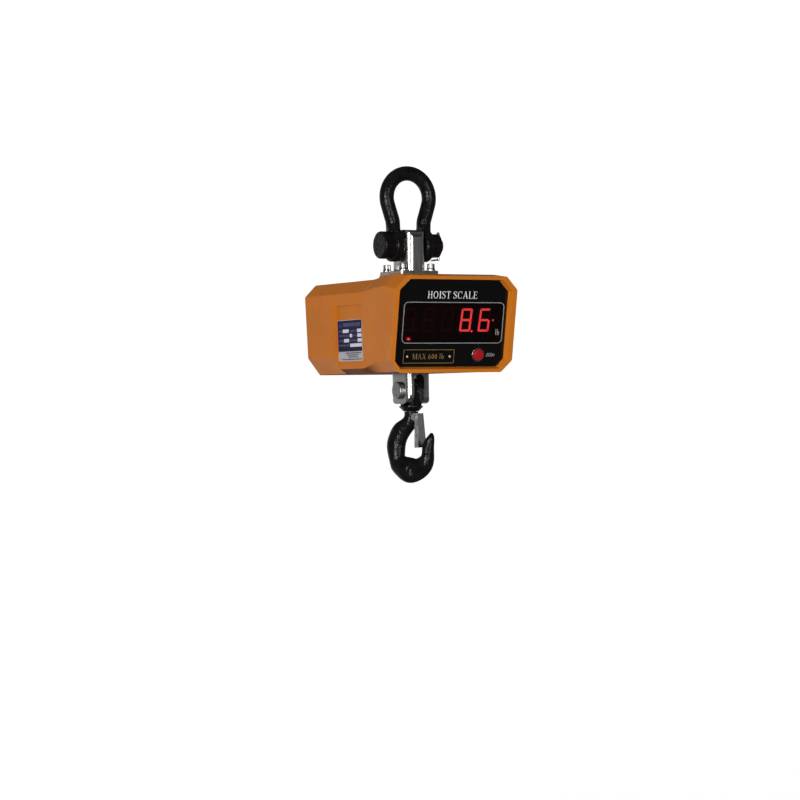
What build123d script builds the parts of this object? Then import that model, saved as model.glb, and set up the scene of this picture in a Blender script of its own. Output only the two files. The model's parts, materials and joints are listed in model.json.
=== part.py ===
from build123d import *
import os
from math import atan2, cos, degrees, radians, sin, tan

# Hanging crane scale: bow shackle, load-cell bar through a cast housing, forked lower end, swivel hook.
# Millimetres, +Z up. The origin is the inside crown of the shackle bow, where the scale hangs.
# The display faces -Y and the shackle bolt lies along X.

# ---- driving dimensions -------------------------------------------------------------------
RUN_FIT = 0.05            # radial running clearance of a pin in its hole
SCREW_FIT = 0.25          # radial clearance of a screw in a plain hole

# shackle
BAR_R = 8.2               # bow bar
BOW_R = 27.4              # bow centreline
BOW_Z = -(BOW_R - BAR_R)  # centre of the bow arc, so that the inside crown is at z = 0
BOW_TUCK = 18.0           # degrees that the arc runs past its widest point
LEG_X = 20.0              # straight ends of the bow, above the ears
LEG_BEND_R = 12.0         # bend from the tapered leg into its straight end
BOLT_Z = -73.0
BOLT_R = 9.5
EAR_R = 18.5
EAR_IN = 14.0
EAR_OUT = 24.5
EAR_EDGE_R = 2.5
SPOT_R = 16.0             # flat spot on each ear for the bolt head and the nut
FLARE_TOP = -48.6         # where the round leg starts to spread into its ear
FLARE_BASE = -63.0
FLARE_HALF_Y = 15.5
BOLT_HEAD_R = 15.4
BOLT_HEAD_T = 13.6
BOLT_HEAD_EDGE_R = 2.0
BOLT_TIP_X = 40.8
NUT_FLATS = 26.0
NUT_T = 12.4
NUT_BEVEL = 1.6
COTTER_R = 1.5
COTTER_X = 38.8
COTTER_TOE = 9.0          # bent ends of the split pin, under the nut
COTTER_TOE_R = 0.95

# load-cell bar
NECK_X = 25.0
NECK_Y = 38.0
NECK_TOP = -56.0
NECK_EDGE_R = 8.0         # rounded long edges of the neck
NECK_CROWN_R = 9.0        # rounded top of the neck, over its front and rear
CELL_SIDE = 46.0
CELL_TOP = -118.8
CELL_BOTTOM = -205.0
CELL_HOLE_R = 10.0
CELL_HOLE_Z = (-141.0, -183.0)
CELL_SLOT = 3.0
FORK_X = 30.0
FORK_Y = 38.0
FORK_EDGE_R = 5.5
FORK_BOTTOM = -251.0
FORK_SLOT = 13.2
FORK_SLOT_TOP = -217.4
FORK_CORNER_R = 12.0
PIN_Z = -235.8
PIN_R = 7.0
PIN_HEAD_R = 9.8
PIN_HEAD_T = 4.2

# housing
FACE_Y = -97.0            # display face at mid height
FACE_TILT = 10.0          # the face looks slightly down
REAR_Y = 106.0
REAR_TILT = 3.0
MID_Z = -165.0
WALL = 3.5
CAST_R = 3.0              # rounding of the long cast edges
RIM_R = 1.6               # rounding round the front and rear faces
RIM_HALF_W = 78.0
RIM_HALF_H = 53.2
RECESS = 7.0              # depth of the panel behind the rim
PANEL_HALF_W = 70.2
PANEL_HALF_H = 47.7
PANEL_T = 3.0
PANEL_TOP_CUT = (12.5, 12.0)
PANEL_LOW_CUT = (8.0, 9.0)
PANEL_FIT = 0.15
PANEL_LEDGE = 3.5         # ledge that the panel sits on
MOUTH_DRAFT = 1.6         # the recess is this much wider at its mouth
REAR_TOP = -113.2
REAR_HALF_W = (76.5, 75.5)        # half widths at the top and bottom of each slice
BLOCK_HALF_W = (76.0, 74.8)
WAIST_HALF_W = (75.0, 73.4)
FLARE_HALF_W = (76.5, 75.2)
CREST_HALF_W = (77.6, 76.8)
BLOCK_Y = 44.0                    # where the rear block ends and the waist begins
WAIST_Y = (34.0, -26.0)
FLARE_Y = -56.0
CREST_Y = -80.0
TOP_CUT = (14.5, 14.0)            # corner chamfers, across and up
FACE_TOP_CUT = (15.0, 14.5)
REAR_LOW_CUT = (14.5, 19.5)
WAIST_LOW_CUT = (11.0, 7.2)
FRONT_LOW_CUT = (13.5, 13.0)
CREST_TOP = -109.2
BASE_Z = -216.8
CUFF_FRONT = -24.0        # label pocket, front and rear ends
CUFF_REAR = 38.0
CUFF_TOP = -140.5
CUFF_TOP_X = 72.9         # the pocket floor leans in towards its lower end
CUFF_LOW_X = 70.9
CUFF_OVERRUN = 5.0
PAD_SIDE = 50.5
PAD_DRAFT = 6.0
PAD_TOP = -106.2
FLANGE_SIDE = 49.5
FLANGE_T = 4.0
FLANGE_FIT = 0.2          # gap round the neck
SCREW_HALF = 18.0         # half the square pattern of the flange screws
M5_R = 2.5
M5_HEAD_R = 4.25
M5_HEAD_H = 5.0
FLAT_WASHER_T = 1.2
SPRING_WASHER_T = 1.8
TOP_SEAL_W = 2.5          # rubber rings round the neck and the fork
TOP_SEAL_H = 6.0
LOW_SEAL_W = 4.0
SEAL_CORNER = 2.0

# display, in the face plane: x to the right, y up the face, from its centre
WINDOW_X = 2.6
WINDOW_Y = 0.8
WINDOW_W = 128.0
WINDOW_H = 45.6
WINDOW_R = 5.5
TRIM_W = 0.8
DIGIT_PITCH = 23.8
DIGIT_COUNT = 5
DIGIT_FIRST_X = -51.2
DIGIT_Y = 3.5
DIGIT_W = 23.4
DIGIT_H = 34.0
DIGIT_DEEP = 9.5
LED_X = -50.7
LED_Y = -17.6
BUTTON_X = 36.8
BUTTON_Y = -34.6
BUTTON_R = 6.3
BUTTON_PROUD = 3.6
BUTTON_CAP_H = 8.0
BEZEL_R = 7.9
BARREL_R = 7.0
BOARD_W = 128.0
BOARD_H = 80.0
BOARD_Y = -1.0
BOARD_T = 1.6
BOARD_GAP = 8.0
STACK_GAP = 0.6           # air between the panel and the digits
STANDOFF_X = 58.0
STANDOFF_Y = 35.0
BOARD_HOLE_R = 1.5
STANDOFF_R = 3.0
STANDOFF_BORE_R = 1.25

# rear cover
COVER_W = 124.0
COVER_H = 78.0
COVER_T = 3.0
COVER_CORNER = 12.0
COVER_FIT = 0.3
COVER_LEDGE_X = 10.0
COVER_LEDGE_Y = 7.0
GASKET_T = 1.0
COVER_SCREW_HOLE_R = 2.2
SWITCH_HOLE = (19.2, 12.8)
SOCKET_HOLE_R = 5.5
COVER_SCREW_X = 56.0
COVER_SCREW_Y = 27.0
SWITCH_X = 26.0           # power switch and charging socket, in the rear plane
SOCKET_X = -26.0
SWITCH_Y = -22.0

# battery packs, one each side of the load cell
BATTERY_W = 24.0
BATTERY_L = 80.0
BATTERY_H = 51.0
BATTERY_X = 42.0
BATTERY_Y = -14.0
BATTERY_BASE = -211.8
BATTERY_EDGE_R = 2.5
TAB_SIZE = (4.8, 0.8, 5.0)
TAB_HALF = 26.0
TRAY_SHEET = 1.2
TRAY_H = 14.0

# side label
LABEL_W = 56.0
LABEL_H = 46.0
LABEL_T = 0.4
LABEL_Y = 8.6
LABEL_Z = -179.4

# bail and hook
BAIL_T = 12.0
BAIL_R = 13.5
BASE_TOP = -253.4
BASE_R = 13.6
BASE_EDGE = 1.0
BAIL_END_R = 8.6
SHANK_R = 5.5
SWIVEL_NUT_R = 7.6
SWIVEL_NUT_T = 3.2
HOOK_ANGLE = -58.0        # the tip points this far round from +X at rest
NECK_R = 8.0
LATCH_U = 7.2
LATCH_Z = -265.8
LATCH_PIN_R = 2.0
NOSE_R = 4.0              # nose of the hook that carries the latch
NOSE_HALF = 4.6
LATCH_TILT = 2.0
LATCH_LEN = 34.5
SHEET = 1.2
LATCH_TOP_HALF = 6.4
LATCH_LOW_HALF = 10.0
LATCH_DEEP = 5.0
LATCH_WEB_X = 5.2
LATCH_EAR_R = 4.2
RIVET_R = 3.2
RIVET_T = 1.2
SPRING_WIRE_R = 0.45
SPRING_COIL_R = 3.0

tilt = radians(FACE_TILT)
FACE = Plane(origin=(0, FACE_Y, MID_Z), x_dir=(1, 0, 0), z_dir=(0, -cos(tilt), -sin(tilt)))
rear_tilt = radians(REAR_TILT)
REAR = Plane(origin=(0, REAR_Y, MID_Z), x_dir=(-1, 0, 0), z_dir=(0, cos(rear_tilt), -sin(rear_tilt)))


# ---- helpers ------------------------------------------------------------------------------
def rod_x(radius, x0, x1, y, z):
    """A round bar along X."""
    return Pos((x0 + x1) / 2, y, z) * Rot(0, 90, 0) * Cylinder(radius, x1 - x0)


def rod_y(radius, y0, y1, x, z):
    """A round bar along Y."""
    return Pos(x, (y0 + y1) / 2, z) * Rot(90, 0, 0) * Cylinder(radius, y1 - y0)


def rod_z(radius, z0, z1, x=0.0, y=0.0):
    """A round bar along Z."""
    return Pos(x, y, (z0 + z1) / 2) * Cylinder(radius, z1 - z0)


def bar_z(size_x, size_y, z0, z1, edge_r):
    """An upright bar with rounded long edges."""
    return Pos(0, 0, z0) * extrude(RectangleRounded(size_x, size_y, edge_r), z1 - z0)


def octagon(half_w, half_h, top_cut, bottom_cut):
    """Rectangle outline with its four corners cut, as points in a plane."""
    right = [
        (half_w - bottom_cut[0], -half_h),
        (half_w, -half_h + bottom_cut[1]),
        (half_w, half_h - top_cut[1]),
        (half_w - top_cut[0], half_h),
    ]
    left = [(-x, y) for x, y in reversed(right)]
    return right + left


def plate(plane, points, front, back):
    """A flat plate: an outline in a plane, from one height above it down to another."""
    outline = make_face(Polyline(*points, close=True))
    return plane * Pos(0, 0, back) * extrude(outline, front - back)


def on_plane(plane, shape, x, y, z=0.0):
    return plane * Pos(x, y, z) * shape


# ---- shackle ------------------------------------------------------------------------------
def shackle_bow():
    """Bow bar, its two ears and the flares between them. The legs converge in a straight taper."""
    tuck = radians(BOW_TUCK)
    half = tuck / 2
    arc_x = BOW_R * cos(tuck)
    arc_z = BOW_Z - BOW_R * sin(tuck)
    knee_x = LEG_X + LEG_BEND_R * (1 - cos(tuck))
    knee_z = arc_z - (arc_x - knee_x) / tan(tuck)
    mid_x = LEG_X + LEG_BEND_R * (1 - cos(half))
    mid_z = knee_z - LEG_BEND_R * (sin(tuck) - sin(half))
    leg_z = knee_z - LEG_BEND_R * sin(tuck)
    path = Wire([
        Edge.make_line((LEG_X, 0, FLARE_TOP), (LEG_X, 0, leg_z)),
        Edge.make_three_point_arc((LEG_X, 0, leg_z), (mid_x, 0, mid_z), (knee_x, 0, knee_z)),
        Edge.make_line((knee_x, 0, knee_z), (arc_x, 0, arc_z)),
        Edge.make_three_point_arc((arc_x, 0, arc_z), (0, 0, BOW_Z + BOW_R), (-arc_x, 0, arc_z)),
        Edge.make_line((-arc_x, 0, arc_z), (-knee_x, 0, knee_z)),
        Edge.make_three_point_arc((-knee_x, 0, knee_z), (-mid_x, 0, mid_z), (-LEG_X, 0, leg_z)),
        Edge.make_line((-LEG_X, 0, leg_z), (-LEG_X, 0, FLARE_TOP)),
    ])
    body = sweep(Plane(origin=(LEG_X, 0, FLARE_TOP), z_dir=(0, 0, 1)) * Circle(BAR_R), path=path)
    for side in (-1, 1):
        inner = side * EAR_IN
        outer = side * EAR_OUT
        ear = rod_x(EAR_R, min(inner, outer), max(inner, outer), 0, BOLT_Z)
        ear = fillet(ear.edges().filter_by(GeomType.CIRCLE), EAR_EDGE_R)
        leg_end = Pos(side * LEG_X, 0, FLARE_TOP) * Circle(BAR_R)
        flare_half_x = (EAR_OUT - EAR_IN) / 2 - 0.2
        flare_end = Pos((inner + outer) / 2, 0, FLARE_BASE) * Ellipse(flare_half_x, FLARE_HALF_Y)
        body = body + ear + loft([leg_end, flare_end])
    jaw = Pos(0, 0, BOLT_Z) * Box(2 * EAR_IN, 3 * EAR_R, 2.2 * EAR_R)
    body = body - jaw
    for side in (-1, 1):
        ends = sorted((side * EAR_OUT, side * 2 * EAR_OUT))
        body = body - rod_x(SPOT_R, *ends, 0, BOLT_Z)
    return body - rod_x(BOLT_R + RUN_FIT, -2 * EAR_OUT, 2 * EAR_OUT, 0, BOLT_Z)


def shackle_bolt():
    head_x = -EAR_OUT - BOLT_HEAD_T
    head = rod_x(BOLT_HEAD_R, head_x, -EAR_OUT, 0, BOLT_Z)
    head = fillet(head.edges().filter_by(GeomType.CIRCLE).sort_by(Axis.X)[0], BOLT_HEAD_EDGE_R)
    shank = rod_x(BOLT_R, -EAR_OUT, BOLT_TIP_X, 0, BOLT_Z)
    shank = chamfer(shank.edges().filter_by(GeomType.CIRCLE).sort_by(Axis.X)[-1], 1.2)
    return head + shank - rod_z(COTTER_R + 0.2, BOLT_Z - 2 * BOLT_R, BOLT_Z + 2 * BOLT_R, COTTER_X)


def hex_nut_x(flats, x0, x1, y, z, hole_r):
    """A hexagonal nut along X with flats above and below and both faces bevelled."""
    corner_r = flats / 2 / cos(radians(30))
    thick = x1 - x0
    blank = extrude(RegularPolygon(corner_r, 6, rotation=30), thick)
    round_off = Cylinder(corner_r, thick)
    round_off = chamfer(round_off.edges().filter_by(GeomType.CIRCLE), NUT_BEVEL)
    nut = blank & Pos(0, 0, thick / 2) * round_off
    nut = nut - Pos(0, 0, thick / 2) * Cylinder(hole_r, 2 * thick)
    return Pos(x0, y, z) * Rot(0, 90, 0) * nut


def shackle_nut():
    return hex_nut_x(NUT_FLATS, EAR_OUT, EAR_OUT + NUT_T, 0, BOLT_Z, BOLT_R)


def shackle_cotter():
    """Split pin: a loop above the bolt, its two ends bent back under the nut."""
    eye_z = BOLT_Z + BOLT_R + 3.2
    leg_end = BOLT_Z - NUT_FLATS / 2 - 2.4
    body = rod_z(COTTER_R, leg_end, eye_z - 1.5, COTTER_X)
    body = body + Pos(COTTER_X, 0, leg_end) * Sphere(COTTER_R)
    body = body + Pos(COTTER_X, 0, eye_z) * Rot(0, 90, 0) * Torus(2.4, 0.9)
    for turn in (-20, 24):
        toe = Pos(0, 0, COTTER_TOE / 2) * Cylinder(COTTER_TOE_R, COTTER_TOE)
        body = body + Pos(COTTER_X, 0, leg_end) * Rot(0, 0, turn) * Rot(0, -96, 0) * toe
    return body


# ---- load-cell bar ------------------------------------------------------------------------
def rounded_ends(size_x, size_y, z0, z1, end_r, which):
    """Envelope that rounds the front and rear of a bar's top (which = -1) or bottom (which = 0) end."""
    block = Pos(0, 0, (z0 + z1) / 2) * Box(size_x + 2, size_y, z1 - z0)
    return fillet(block.edges().filter_by(Axis.X).group_by(Axis.Z)[which], end_r)


def load_cell():
    neck = bar_z(NECK_X, NECK_Y, CELL_TOP, NECK_TOP, NECK_EDGE_R)
    neck = neck & rounded_ends(NECK_X, NECK_Y, CELL_TOP, NECK_TOP, NECK_CROWN_R, -1)
    block = Pos(0, 0, (CELL_TOP + CELL_BOTTOM) / 2) * Box(CELL_SIDE, CELL_SIDE, CELL_TOP - CELL_BOTTOM)
    block = fillet(block.edges().filter_by(Axis.Z), 2.0)
    fork = bar_z(FORK_X, FORK_Y, FORK_BOTTOM, CELL_BOTTOM, FORK_EDGE_R)
    fork = fork & rounded_ends(FORK_X, FORK_Y, FORK_BOTTOM, CELL_BOTTOM, FORK_CORNER_R, 0)
    slot_r = FORK_SLOT / 2
    slot = Pos(0, 0, (FORK_BOTTOM - 5 + FORK_SLOT_TOP - slot_r) / 2) * Box(
        FORK_SLOT, 2 * FORK_Y, FORK_SLOT_TOP - slot_r - FORK_BOTTOM + 5)
    slot = slot + rod_y(slot_r, -FORK_Y, FORK_Y, 0, FORK_SLOT_TOP - slot_r)
    body = neck + block + fork - slot
    for z in CELL_HOLE_Z:
        body = body - rod_x(CELL_HOLE_R, -CELL_SIDE, CELL_SIDE, 0, z)
    bridge = Pos(0, 0, sum(CELL_HOLE_Z) / 2) * Box(2 * CELL_SIDE, CELL_SLOT, CELL_HOLE_Z[0] - CELL_HOLE_Z[1])
    body = body - bridge
    body = body - rod_x(BOLT_R + RUN_FIT, -CELL_SIDE, CELL_SIDE, 0, BOLT_Z)
    body = body - rod_x(PIN_R + RUN_FIT, -CELL_SIDE, CELL_SIDE, 0, PIN_Z)
    for x, y in flange_screw_places():
        body = body - rod_z(M5_R, CELL_TOP - 10.0, CELL_TOP + 1.0, x, y)
    return body


def gauge_covers():
    """Thin sealed lids over the two ends of the strain-gauge holes."""
    lids = []
    for side in (-1, 1):
        x = side * (CELL_SIDE / 2 + 0.6)
        lid = Pos(x, 0, sum(CELL_HOLE_Z) / 2) * Box(1.2, 30.0, 72.0)
        lids.append(fillet(lid.edges().filter_by(Axis.X), 4.0))
    return Compound(children=lids)


def flange_screw_places():
    return [(sx * SCREW_HALF, sy * SCREW_HALF) for sx in (-1, 1) for sy in (-1, 1)]


def top_flange():
    blank = Pos(0, 0, PAD_TOP) * extrude(RectangleRounded(FLANGE_SIDE, FLANGE_SIDE, 3.0), FLANGE_T)
    blank = chamfer(blank.faces().sort_by(Axis.Z)[-1].edges(), 0.6)
    hole_x = NECK_X + 2 * FLANGE_FIT
    hole_y = NECK_Y + 2 * FLANGE_FIT
    blank = blank - bar_z(hole_x, hole_y, PAD_TOP - 1, PAD_TOP + FLANGE_T + 1, NECK_EDGE_R)
    for x, y in flange_screw_places():
        blank = blank - rod_z(M5_R + SCREW_FIT, PAD_TOP - 1, PAD_TOP + FLANGE_T + 1, x, y)
    return blank


def ring_z(outer, inner, z0, z1, x, y):
    return rod_z(outer, z0, z1, x, y) - rod_z(inner, z0 - 1, z1 + 1, x, y)


def flange_washers():
    z0 = PAD_TOP + FLANGE_T
    rings = [ring_z(5.0, M5_R + 0.15, z0, z0 + FLAT_WASHER_T, x, y) for x, y in flange_screw_places()]
    return Compound(children=rings)


def flange_spring_washers():
    """Split lock washers, each with its slanting gap."""
    z0 = PAD_TOP + FLANGE_T + FLAT_WASHER_T
    rings = []
    for x, y in flange_screw_places():
        ring = ring_z(4.5, M5_R + 0.15, z0, z0 + SPRING_WASHER_T, x, y)
        gap = Pos(x + 3.6, y, z0 + SPRING_WASHER_T / 2) * Rot(20, 0, 0) * Box(3.6, 0.7, 4.0)
        rings.append(ring - gap)
    return Compound(children=rings)


def flange_screws():
    """M5 socket-head screws that clamp the flange, the housing and the load cell together."""
    z0 = PAD_TOP + FLANGE_T + FLAT_WASHER_T + SPRING_WASHER_T
    screws = []
    for x, y in flange_screw_places():
        head = rod_z(M5_HEAD_R, z0, z0 + M5_HEAD_H, x, y)
        head = fillet(head.edges().filter_by(GeomType.CIRCLE).sort_by(Axis.Z)[-1], 0.6)
        socket = Pos(x, y, z0 + M5_HEAD_H - 2.5) * extrude(RegularPolygon(2.3, 6), 4.0)
        shank = rod_z(M5_R, CELL_TOP - 8.0, z0, x, y)
        screws.append(head + shank - socket)
    return Compound(children=screws)


def bar_seal(size_x, size_y, edge_r, width, z0, z1):
    """Rubber ring that fits round a bar."""
    ring = bar_z(size_x + 2 * width, size_y + 2 * width, z0, z1, edge_r + SEAL_CORNER)
    return ring - bar_z(size_x, size_y, z0 - 1, z1 + 1, edge_r)


def top_seal():
    return bar_seal(NECK_X, NECK_Y, NECK_EDGE_R, TOP_SEAL_W, PAD_TOP - TOP_SEAL_H, PAD_TOP)


def bottom_seal():
    return bar_seal(FORK_X, FORK_Y, FORK_EDGE_R, LOW_SEAL_W, BASE_Z, BASE_Z + WALL)


# ---- housing ------------------------------------------------------------------------------
def housing_section(y_at, half_top, half_bottom, top, bottom, top_cut, bottom_cut, inset):
    """One eight-sided slice of the housing. y_at gives Y from Z, so a slice can lean."""
    top = top - inset
    bottom = bottom + inset
    half_top = half_top - inset
    half_bottom = half_bottom - inset
    right = [
        (half_bottom - bottom_cut[0], bottom),
        (half_bottom, bottom + bottom_cut[1]),
        (half_top, top - top_cut[1]),
        (half_top - top_cut[0], top),
    ]
    outline = right + [(-x, z) for x, z in reversed(right)]
    cut = make_face(Polyline(*[(x, y_at(z), z) for x, z in outline], close=True))
    return fillet(cut.vertices(), CAST_R - 0.5 * inset).face().outer_wire()


def housing_form(inset):
    """The cast form: a chamfered rear block, a tucked-in waist and a taller display block."""
    face_top = MID_Z + RIM_HALF_H * cos(tilt)
    face_base = MID_Z - RIM_HALF_H * cos(tilt)

    def upright(y):
        return lambda z: y

    def rear_face(z):
        return REAR_Y - inset + (z - MID_Z) * tan(rear_tilt)

    def front_face(z):
        return FACE_Y + inset - (z - MID_Z) * tan(tilt)

    slices = [
        (rear_face, *REAR_HALF_W, REAR_TOP, BASE_Z, TOP_CUT, REAR_LOW_CUT),
        (upright(BLOCK_Y), *BLOCK_HALF_W, REAR_TOP, BASE_Z, TOP_CUT, REAR_LOW_CUT),
        (upright(WAIST_Y[0]), *WAIST_HALF_W, REAR_TOP, BASE_Z, TOP_CUT, WAIST_LOW_CUT),
        (upright(WAIST_Y[1]), *WAIST_HALF_W, REAR_TOP, BASE_Z, TOP_CUT, WAIST_LOW_CUT),
        (upright(FLARE_Y), *FLARE_HALF_W, CREST_TOP - 0.8, BASE_Z, TOP_CUT, FRONT_LOW_CUT),
        (upright(CREST_Y), *CREST_HALF_W, CREST_TOP, BASE_Z, TOP_CUT, FRONT_LOW_CUT),
        (front_face, RIM_HALF_W, RIM_HALF_W, face_top, face_base, FACE_TOP_CUT, FRONT_LOW_CUT),
    ]
    wires = [housing_section(*values, inset) for values in slices]
    return Solid.make_loft(wires, ruled=True)


def side_pocket(side):
    """Shallow drafted pocket in a side wall, open at its lower end."""
    points = [
        (side * 95.0, CUFF_TOP),
        (side * CUFF_TOP_X, CUFF_TOP),
        (side * CUFF_LOW_X, BASE_Z - CUFF_OVERRUN),
        (side * 95.0, BASE_Z - CUFF_OVERRUN),
    ]
    outline = make_face(Polyline(*[(x, 0, z) for x, z in points], close=True))
    cutter = extrude(outline, CUFF_REAR - CUFF_FRONT, dir=(0, 1, 0))
    return Pos(0, CUFF_FRONT, 0) * cutter


def panel_outline(grow):
    return octagon(PANEL_HALF_W + grow, PANEL_HALF_H + grow, PANEL_TOP_CUT, PANEL_LOW_CUT)


def loading_pad():
    """Raised pad under the top flange."""
    low = Pos(0, 0, REAR_TOP - WALL) * RectangleRounded(PAD_SIDE + PAD_DRAFT, PAD_SIDE + PAD_DRAFT, 5.0)
    high = Pos(0, 0, PAD_TOP) * RectangleRounded(PAD_SIDE, PAD_SIDE, 4.0)
    return loft([low, high])


def pocket_backing(side):
    """Thicker wall behind a side pocket."""
    y = (CUFF_FRONT + CUFF_REAR) / 2
    z = (CUFF_TOP + BASE_Z) / 2 + 2
    return Pos(side * (CUFF_LOW_X - 0.5), y, z) * Box(5.0, CUFF_REAR - CUFF_FRONT + 8, CUFF_TOP - BASE_Z)


def panel_mouth():
    """Drafted recess in front of the panel."""
    outer = make_face(Polyline(*panel_outline(MOUTH_DRAFT), close=True))
    inner = make_face(Polyline(*panel_outline(PANEL_FIT), close=True))
    return loft([FACE * outer, FACE * Pos(0, 0, -RECESS) * inner])


def cover_outline(grow_x, grow_y):
    cut = (COVER_CORNER, COVER_CORNER)
    return octagon(COVER_W / 2 + grow_x, COVER_H / 2 + grow_y, cut, cut)


def housing():
    shell = housing_form(0.0)
    for face in (shell.faces().sort_by(Axis.Y)[0], shell.faces().sort_by(Axis.Y)[-1]):
        shell = fillet(face.edges(), RIM_R)
    shell = shell + loading_pad()
    shell = shell - housing_form(WALL)
    for side in (-1, 1):
        shell = shell + (pocket_backing(side) & housing_form(0.5))
        shell = shell - side_pocket(side)
    # display recess, its ledge and the opening behind it
    seat_back = -RECESS - PANEL_T
    frame = plate(FACE, panel_outline(4.5), -WALL, seat_back - 2.5)
    shell = shell + (frame & housing_form(0.5))
    shell = shell - panel_mouth()
    shell = shell - plate(FACE, panel_outline(PANEL_FIT), -RECESS, seat_back)
    shell = shell - plate(FACE, panel_outline(-PANEL_LEDGE), -RECESS, seat_back - 9.0)
    # rear opening and the recess for its cover
    shell = shell + plate(REAR, cover_outline(4.0, 4.0), -1.0, -COVER_T - 4.0)
    shell = shell - plate(REAR, cover_outline(COVER_FIT, COVER_FIT), 5.0, -COVER_T - GASKET_T)
    shell = shell - plate(REAR, cover_outline(-COVER_LEDGE_X, -COVER_LEDGE_Y), 0.0, -12.0)
    for x, y in cover_screw_places():
        shell = shell - on_plane(REAR, Cylinder(1.9, 30.0), x, y)
    # passages for the load cell and the flange screws
    top_x = NECK_X + 2 * TOP_SEAL_W
    top_y = NECK_Y + 2 * TOP_SEAL_W
    low_x = FORK_X + 2 * LOW_SEAL_W
    low_y = FORK_Y + 2 * LOW_SEAL_W
    shell = shell - bar_z(top_x, top_y, PAD_TOP - TOP_SEAL_H, PAD_TOP + 1, NECK_EDGE_R + SEAL_CORNER)
    shell = shell - bar_z(NECK_X + 1, NECK_Y + 1, CELL_TOP - 1, PAD_TOP, NECK_EDGE_R)
    shell = shell - bar_z(low_x, low_y, BASE_Z - 1, BASE_Z + WALL + 1, FORK_EDGE_R + SEAL_CORNER)
    for x, y in flange_screw_places():
        shell = shell - rod_z(M5_R + SCREW_FIT, CELL_TOP - 1, PAD_TOP + 1, x, y)
    return shell


def side_label():
    """Data label on the floor of the pocket, on the -X side."""
    lean = degrees(atan2(CUFF_TOP_X - CUFF_LOW_X, CUFF_TOP - BASE_Z + CUFF_OVERRUN))
    floor_x = -(CUFF_TOP_X - (CUFF_TOP - LABEL_Z) * tan(radians(lean)))
    label = Box(LABEL_T, LABEL_W, LABEL_H)
    label = fillet(label.edges().filter_by(Axis.X), 1.0)
    return Pos(floor_x - LABEL_T / 2 - 0.02, LABEL_Y, LABEL_Z) * Rot(0, -lean, 0) * label


# ---- display ------------------------------------------------------------------------------
def rounded_bar(plane, size_x, size_y, corner_r, x, y, front, back):
    bar = extrude(RectangleRounded(size_x, size_y, corner_r), front - back)
    return on_plane(plane, bar, x, y, back)


def front_panel():
    panel = plate(FACE, panel_outline(0.0), -RECESS, -RECESS - PANEL_T)
    panel = panel - rounded_bar(FACE, WINDOW_W - 3, WINDOW_H - 3, WINDOW_R - 1.5, WINDOW_X, WINDOW_Y, 0, -20)
    return panel - on_plane(FACE, Cylinder(BARREL_R + RUN_FIT, 60.0), BUTTON_X, BUTTON_Y)


def display_window():
    return rounded_bar(FACE, WINDOW_W - 3, WINDOW_H - 3, WINDOW_R - 1.5, WINDOW_X, WINDOW_Y,
                       -RECESS - 0.1, -RECESS - PANEL_T)


def display_trim():
    """Thin bright line round the window."""
    front = -RECESS + 0.35
    outer = rounded_bar(FACE, WINDOW_W, WINDOW_H, WINDOW_R, WINDOW_X, WINDOW_Y, front, -RECESS)
    size_x = WINDOW_W - 2 * TRIM_W
    size_y = WINDOW_H - 2 * TRIM_W
    return outer - rounded_bar(FACE, size_x, size_y, WINDOW_R - TRIM_W, WINDOW_X, WINDOW_Y, 0, -20)


def led_digits():
    """A row of seven-segment modules behind the window."""
    front = -RECESS - PANEL_T - STACK_GAP
    digits = []
    for index in range(DIGIT_COUNT):
        x = DIGIT_FIRST_X + index * DIGIT_PITCH
        block = on_plane(FACE, Box(DIGIT_W, DIGIT_H, DIGIT_DEEP), x, DIGIT_Y, front - DIGIT_DEEP / 2)
        digits.append(block)
    return Compound(children=digits)


def status_led():
    front = -RECESS - PANEL_T - 0.3
    lens = on_plane(FACE, Cylinder(1.5, 6.0), LED_X, LED_Y, front - 3.0)
    collar = on_plane(FACE, Cylinder(1.9, 1.0), LED_X, LED_Y, front - 6.5)
    return lens + collar


def display_board():
    front = -RECESS - PANEL_T - STACK_GAP - DIGIT_DEEP
    board = rounded_bar(FACE, BOARD_W, BOARD_H, 2.0, 0, BOARD_Y, front, front - BOARD_T)
    for x, y in standoff_places():
        board = board - on_plane(FACE, Cylinder(BOARD_HOLE_R, 80.0), x, y)
    return board


def main_board():
    front = -RECESS - PANEL_T - STACK_GAP - DIGIT_DEEP - BOARD_T - BOARD_GAP
    board = rounded_bar(FACE, BOARD_W, BOARD_H, 2.0, 0, BOARD_Y, front, front - BOARD_T)
    for x, y in standoff_places():
        board = board - on_plane(FACE, Cylinder(BOARD_HOLE_R, 140.0), x, y)
    return board


def standoff_places():
    return [(sx * STANDOFF_X, BOARD_Y + sy * STANDOFF_Y) for sx in (-1, 1) for sy in (-1, 1)]


def board_standoffs():
    """Hexagonal spacers, panel to display board and display board to main board."""
    panel_back = -RECESS - PANEL_T
    board_front = panel_back - STACK_GAP - DIGIT_DEEP
    board_back = board_front - BOARD_T
    spacers = []
    for x, y in standoff_places():
        for front, back in ((panel_back, board_front), (board_back, board_back - BOARD_GAP)):
            spacer = extrude(RegularPolygon(STANDOFF_R, 6), front - back)
            spacer = spacer - Pos(0, 0, 8) * Cylinder(STANDOFF_BORE_R, 40.0)
            spacers.append(on_plane(FACE, spacer, x, y, back))
    return Compound(children=spacers)


def button_bezel():
    """Metal ring of the button, clamped through the panel."""
    flange = on_plane(FACE, Cylinder(BEZEL_R, 1.4), BUTTON_X, BUTTON_Y, -RECESS + 0.7)
    barrel = on_plane(FACE, Cylinder(BARREL_R, 7.0), BUTTON_X, BUTTON_Y, -RECESS - 3.5)
    bore = on_plane(FACE, Cylinder(BUTTON_R + 0.08, 40.0), BUTTON_X, BUTTON_Y, -RECESS)
    ring = flange + barrel
    ring = fillet(ring.edges().filter_by(GeomType.CIRCLE).sort_by(Axis.Y)[0], 0.5)
    return ring - bore


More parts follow.
